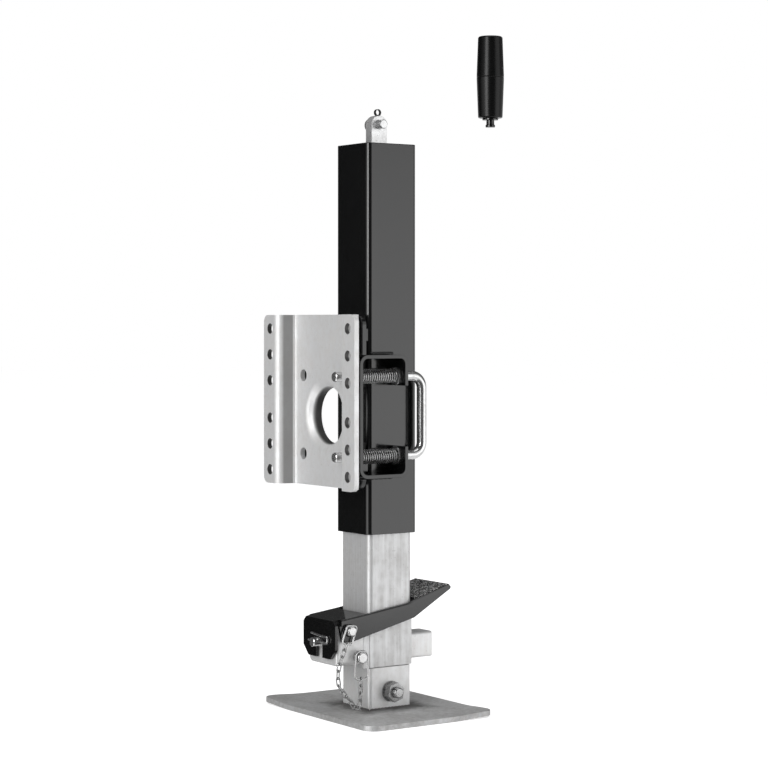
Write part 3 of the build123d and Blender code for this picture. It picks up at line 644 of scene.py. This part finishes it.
def makeFoot():
    values = footShape
    low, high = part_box("foot_plate")
    size, middle = high - low, (low + high) / 2
    bpy.ops.object.select_all(action="DESELECT")
    bpy.ops.mesh.primitive_cube_add(size=1, location=middle)
    outline = bpy.context.object
    outline.scale = (size.x, size.y, size.z * 3)
    bpy.ops.object.transform_apply(location=True, rotation=True, scale=True)
    bevelChosen(outline, lambda middle, way, normals: abs(way.z) > 0.9, values["corner"],
                values["cornerSteps"])
    bpy.ops.object.select_all(action="DESELECT")
    bpy.ops.mesh.primitive_grid_add(x_subdivisions=values["columns"], y_subdivisions=values["rows"], size=1,
                                    location=(middle.x, middle.y, high.z))
    foot = bpy.context.object
    foot.name = "footPlate"
    foot.scale = (size.x + values["over"], size.y + values["over"], 1)
    bpy.ops.object.transform_apply(location=True, rotation=True, scale=True)
    sheet = foot.modifiers.new("thick", "SOLIDIFY")
    sheet.thickness = size.z
    sheet.offset = -1
    trim = foot.modifiers.new("trim", "BOOLEAN")
    trim.operation = "INTERSECT"
    trim.object = outline
    applyModifiers(foot)
    onlySelect(outline)
    bpy.ops.object.delete()
    smoothEdges(foot, values["edge"], 3, 40)
    for side in (1, -1):
        tip = Vector((middle.x - side * size.x / 2, middle.y + side * size.y / 2, middle.z))
        near = min((vertex.co - tip).length for vertex in foot.data.vertices)
        onlySelect(foot)
        bpy.ops.object.mode_set(mode="EDIT")
        bpy.ops.mesh.select_all(action="DESELECT")
        bpy.ops.object.mode_set(mode="OBJECT")
        for vertex in foot.data.vertices:
            vertex.select = (vertex.co - tip).length < near + values["grab"]
        bpy.ops.object.mode_set(mode="EDIT")
        bpy.ops.transform.translate(value=(0, 0, values["lift"]), use_proportional_edit=True,
                                    proportional_edit_falloff="SMOOTH", proportional_size=values["spread"])
        bpy.ops.object.mode_set(mode="OBJECT")
    clothe(foot, "foot_plate")


makeFoot()
print("grip and foot plate made")


# Weld beads, as a run of drops: name, node whose body and finish it takes, start, end, radius
weldRuns = {"frameStart": -0.026, "frameEnd": -0.002, "inset": 0.001, "off": 0.0008, "frameLow": 0.0022,
            "frameHigh": 0.002, "boot": 0.0016, "bootShare": 0.9}
dropShape = {"segments": 14, "rings": 8, "pitch": 0.8, "least": 0.92, "swell": 0.1, "wave": 2.1}
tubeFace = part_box("outer_tube")[0].y - weldRuns["inset"]
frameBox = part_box("lock_frame")
beads = []
for name, height, radius in (("frameWeldLow", frameBox[0].z - weldRuns["off"], weldRuns["frameLow"]),
                             ("frameWeldHigh", frameBox[1].z + weldRuns["off"], weldRuns["frameHigh"])):
    beads.append((name, "lock_frame", (weldRuns["frameStart"], tubeFace, height),
                  (weldRuns["frameEnd"], tubeFace, height), radius))
low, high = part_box("foot_boot")
run = weldRuns["bootShare"]
for side, corner in (("Near", low), ("Far", high)):
    beads.append(("bootWeld" + side + "X", "foot_plate", (low.x * run, corner.y, low.z),
                  (high.x * run, corner.y, low.z), weldRuns["boot"]))
    beads.append(("bootWeld" + side + "Y", "foot_plate", (corner.x, low.y * run, low.z),
                  (corner.x, high.y * run, low.z), weldRuns["boot"]))


def weldBead(name, node, start, end, size):
    values = dropShape
    start, end = Vector(start), Vector(end)
    count = max(2, round((end - start).length / (size * values["pitch"])))
    drops = []
    for step in range(count + 1):
        bpy.ops.object.select_all(action="DESELECT")
        bpy.ops.mesh.primitive_uv_sphere_add(
            segments=values["segments"], ring_count=values["rings"], location=start.lerp(end, step / count),
            radius=size * (values["least"] + values["swell"] * math.sin(step * values["wave"])))
        drops.append(bpy.context.object)
    onlySelect(*drops)
    bpy.ops.object.join()
    bead = bpy.context.object
    bead.name = name
    bpy.ops.object.transform_apply(location=True, rotation=True, scale=True)
    bpy.ops.object.shade_smooth()
    clothe(bead, node, replace=False)


for bead in beads:
    weldBead(*bead)
print("weld beads made:", len(beads))


# Coil springs: a closed turn, the open turns and a closed turn, along X

lockSpring = {"coil": 0.0065, "wire": 0.00058, "turns": 15.5, "closed": 1, "sides": 10, "steps": 32}
plungerSpring = {"coil": 0.0062, "wire": 0.0008, "turns": 5.0, "closed": 1, "sides": 8, "steps": 28}
closedPitch = 2.15  # of a closed turn, in wire radii


def coilRun(values, turns, height, startTurn, startHeight):
    turn = 2 * math.pi * startTurn
    bpy.ops.object.select_all(action="DESELECT")
    bpy.ops.mesh.primitive_circle_add(vertices=values["sides"], radius=values["wire"],
                                      location=(values["coil"], 0, 0), rotation=(math.pi / 2, 0, 0))
    run = bpy.context.object
    bpy.ops.object.transform_apply(location=True, rotation=True, scale=True)
    run.rotation_euler = (0, 0, turn)
    run.location = (0, 0, startHeight)
    bpy.ops.object.transform_apply(location=True, rotation=True, scale=True)
    screw = run.modifiers.new("turns", "SCREW")
    screw.angle = 2 * math.pi * turns
    screw.screw_offset = height
    screw.steps = screw.render_steps = round(values["steps"] * turns)
    applyModifiers(run)
    return run


def makeCoil(name, values, startX, endX, y, z):
    bpy.ops.object.select_all(action="DESELECT")
    length = endX - startX - 2 * values["wire"]
    closed = values["closed"] * closedPitch * values["wire"]
    runs = [coilRun(values, values["closed"], closed, 0, 0),
            coilRun(values, values["turns"], length - 2 * closed, values["closed"], closed),
            coilRun(values, values["closed"], closed, values["closed"] + values["turns"], length - closed)]
    onlySelect(*runs)
    bpy.ops.object.join()
    coil = bpy.context.object
    coil.name = name
    bpy.ops.object.mode_set(mode="EDIT")
    bpy.ops.mesh.select_all(action="SELECT")
    bpy.ops.mesh.remove_doubles(threshold=0.00001)
    bpy.ops.mesh.fill_holes(sides=values["sides"])
    bpy.ops.mesh.normals_make_consistent(inside=False)
    bpy.ops.object.mode_set(mode="OBJECT")
    coil.rotation_euler = (0, math.pi / 2, 0)
    coil.location = (startX + values["wire"], y, z)
    bpy.ops.object.transform_apply(location=True, rotation=True, scale=True)
    bpy.ops.object.shade_smooth_by_angle(angle=math.radians(50))
    return coil


travelOf = {joint["name"]: max(abs(end) for end in joint["range_m"])
            for joint in record["behaviour"]["joints"] if joint["type"] == "slide"}


def pressCoil(coil, joint, startX, endX):
    # the coil gets a mesh of its own; how much it would shorten is worked out but not used
    1 - travelOf[joint] / (endX - startX)
    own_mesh(coil)


low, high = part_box("lock_springs")
reach = lockSpring["coil"] + lockSpring["wire"]
springPair = [makeCoil("lockSpring" + end, lockSpring, low.x, high.x, (low.y + high.y) / 2, height)
              for end, height in (("Low", low.z + reach), ("High", high.z - reach))]
for coil in springPair:
    clothe(coil, "lock_springs")
    pressCoil(coil, "handle_pull", low.x, high.x)
low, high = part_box("plunger_spring")
coil = makeCoil("plungerSpring", plungerSpring, low.x, high.x, (low.y + high.y) / 2, (low.z + high.z) / 2)
clothe(coil, "plunger_spring")
pressCoil(coil, "plunger_draw", low.x, high.x)

# The bolt's thread shows where it stands out of the nut
boltThread = {"coil": 0.00465, "wire": 0.0005, "turns": 3, "closed": 0.2, "sides": 4, "steps": 36,
              "short": 0.0002}
low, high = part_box("boot_bolt")
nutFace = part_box("boot_nut")[0].y
thread = makeCoil("boltThread", boltThread, 0, nutFace - low.y - boltThread["short"], 0, 0)
thread.rotation_euler = (0, 0, -math.pi / 2)
thread.location = ((low.x + high.x) / 2, nutFace, (low.z + high.z) / 2)
bpy.ops.object.transform_apply(location=True, rotation=True, scale=True)
clothe(thread, "boot_bolt", replace=False)
print("springs and thread made")


# Chain: one link is modelled and laid on each of the frame's links

chainLink = {"wire": 0.0007, "width": 0.0052, "around": 24, "sides": 10}


def looseParts(mesh):
    # the vertices of each separate solid, as arrays
    work = bmesh.new()
    work.from_mesh(mesh)
    bmesh.ops.remove_doubles(work, verts=work.verts, dist=0.000002)
    seen, parts = set(), []
    for start in work.verts:
        if start in seen:
            continue
        group, waiting = [], [start]
        seen.add(start)
        while waiting:
            vertex = waiting.pop()
            group.append(vertex.co[:])
            for edge in vertex.link_edges:
                other = edge.other_vert(vertex)
                if other not in seen:
                    seen.add(other)
                    waiting.append(other)
        parts.append(np.array(group))
    work.free()
    return parts


def makeLink(name, length):
    values = chainLink
    bpy.ops.object.select_all(action="DESELECT")
    bpy.ops.mesh.primitive_torus_add(
        major_radius=values["width"] / 2 - values["wire"], minor_radius=values["wire"],
        major_segments=values["around"], minor_segments=values["sides"],
        rotation=(0, 0, math.pi / values["around"]))
    link = bpy.context.object
    link.name = name
    bpy.ops.object.transform_apply(location=True, rotation=True, scale=True)
    for side in (1, -1):
        bpy.ops.object.mode_set(mode="EDIT")
        bpy.ops.mesh.select_all(action="DESELECT")
        bpy.ops.object.mode_set(mode="OBJECT")
        for vertex in link.data.vertices:
            vertex.select = vertex.co.x * side > 0
        bpy.ops.object.mode_set(mode="EDIT")
        bpy.ops.transform.translate(value=(side * (length - values["width"]) / 2, 0, 0))
        bpy.ops.object.mode_set(mode="OBJECT")
    bpy.ops.object.shade_smooth_by_angle(angle=math.radians(60))
    return link


links = []
for number, points in enumerate(looseParts(frame["nodes"]["chain"].data)):
    middle = points.mean(axis=0)
    spread, ways = np.linalg.eigh(np.cov((points - middle).T))
    long, wide = Vector(ways[:, 2]), Vector(ways[:, 1])
    reachOut = (points - middle) @ ways[:, 2]
    if not links:
        pattern = makeLink("chainLink", reachOut.max() - reachOut.min())
    link = bpy.data.objects.new("chainLink" + str(number), pattern.data.copy())
    bpy.context.scene.collection.objects.link(link)
    turn = Matrix((long, wide, long.cross(wide))).transposed().to_4x4()
    link.data.transform(Matrix.Translation(Vector(middle)) @ turn)
    links.append(link)
bpy.data.objects.remove(pattern)
onlySelect(*links)
bpy.ops.object.join()
retainingChain = bpy.context.object
retainingChain.name = "retainingChain"
clothe(retainingChain, "chain")
print("chain made:", len(links), "links")


# Nodes that stay as the frame has them
kept = [node for node, one in frame["nodes"].items() if not one.hide_render]
for node in kept:
    for place in frame["nodes"][node].material_slots:
        place.material = finishFor(node)
print("nodes kept:", ", ".join(kept))


# Floor, light and camera

# ring: tones that gloss mirrors round the horizon; 0.5 is behind the camera, its right hand side comes after
# height: their share from straight down to straight up
studio = {"floorSize": 30, "floorTone": 0.8, "glow": 0.56, "worldLevel": 0.55, "ringLevel": 2.0,
          "ring": [(0.0, 0.5), (0.1, 0.5), (0.14, 0.012), (0.24, 0.012), (0.28, 0.5), (0.33, 0.9), (0.4, 1.0),
                   (0.43, 0.03), (0.61, 0.03), (0.65, 0.52), (0.74, 0.52), (0.79, 0.5), (1.0, 0.5)],
          "height": [(0.0, 1.0), (0.46, 0.95), (0.485, 1.0), (0.53, 0.72), (0.546, 0.6), (0.557, 0.12),
                     (0.62, 0.06), (1.0, 0.05)]}
cameraTurn = 34  # degrees from straight ahead
floorDrop = 0.0002

bpy.ops.object.select_all(action="DESELECT")
bpy.ops.mesh.primitive_plane_add(size=studio["floorSize"], location=(0, 0, -floorDrop))
floor = bpy.context.object
floor.name = "studioFloor"
floor.visible_glossy = False
bpy.ops.object.transform_apply(location=True, rotation=True, scale=True)
floorMaterial = bpy.data.materials.new("studioFloor")
graph = Graph(floorMaterial)
direct = [graph.node("ShaderNodeLightPath", output=name)
          for name in ("Is Camera Ray", "Is Glossy Ray", "Is Transmission Ray")]
seen = direct[0] + direct[1] + direct[2]
matt = graph.node("ShaderNodeBsdfDiffuse", {}, {"Color": grey(studio["floorTone"])})
glow = graph.node("ShaderNodeEmission", {}, {"Color": grey(1), "Strength": seen * studio["glow"]})
both = graph.node("ShaderNodeAddShader", {}, {0: matt, 1: glow})
graph.node("ShaderNodeOutputMaterial", {}, {"Surface": both})
floor.data.materials.append(floorMaterial)

world = bpy.data.worlds.new("studio")
bpy.context.scene.world = world
graph = Graph(world)
paths = {name: graph.node("ShaderNodeLightPath", output=name)
         for name in ("Is Camera Ray", "Is Glossy Ray", "Is Transmission Ray")}
way = graph.node("ShaderNodeTexCoord", output="Generated")
east, north, up = graph.parts(way)
turn = math.radians(cameraTurn)
aside = east * math.cos(turn) - north * math.sin(turn)
behind = (east * math.sin(turn) + north * math.cos(turn)) * -1
around = graph.node("ShaderNodeMath", {"operation": "ARCTAN2"}, {0: aside, 1: behind}) / (2 * math.pi) + 0.5
ring = graph.node("ShaderNodeValToRGB", {"stops": studio["ring"]}, {"Fac": around})
height = graph.node("ShaderNodeValToRGB", {"stops": studio["height"]}, {"Fac": up * 0.5 + 0.5})
mirrored = ring * studio["ringLevel"] * height
plain = graph.node("ShaderNodeBackground", {}, {"Color": grey(1), "Strength": studio["worldLevel"]})
white = graph.node("ShaderNodeBackground", {}, {
    "Color": grey(1), "Strength": 1 + paths["Is Glossy Ray"] * (mirrored - 1)})
shown = paths["Is Camera Ray"] + paths["Is Glossy Ray"] + paths["Is Transmission Ray"]
either = graph.node("ShaderNodeMixShader", {}, {0: shown, 1: plain, 2: white})
graph.node("ShaderNodeOutputWorld", {}, {"Surface": either})

# name: place, size, power, what it points at
lamps = {
    "frontBox": ((1.35, -2.05, 0.75), (1.9, 2.1), 12, (0, 0, 0.34)),
    "leftFill": ((-2.3, -0.9, 1.1), (1.1, 1.6), 32, (0, 0, 0.3)),
    "topBox": ((0.1, -0.2, 2.6), (2.0, 2.0), 18, (0, 0, 0.2)),
}
for name, (place, size, power, target) in lamps.items():
    lamp = bpy.data.lights.new(name, "AREA")
    lamp.shape = "RECTANGLE"
    lamp.size, lamp.size_y = size
    lamp.energy = power
    holder = bpy.data.objects.new(name, lamp)
    holder.location = place
    holder.rotation_euler = (Vector(target) - Vector(place)).to_track_quat("-Z", "Y").to_euler()
    holder.visible_camera = False
    bpy.context.scene.collection.objects.link(holder)

camera = bpy.data.cameras.new("camera")
camera.lens = 102.66
camera.sensor_width = 36
camera.shift_y = -0.0768
camera.clip_end = 60
cameraObject = bpy.data.objects.new("camera", camera)
cameraObject.location = (-1.1899, -1.7775, 0.3756)
cameraObject.rotation_euler = (math.radians(90), 0, math.radians(-cameraTurn))
bpy.context.scene.collection.objects.link(cameraObject)
bpy.context.scene.camera = cameraObject
bpy.context.scene.view_settings.view_transform = "Standard"
print("studio set")
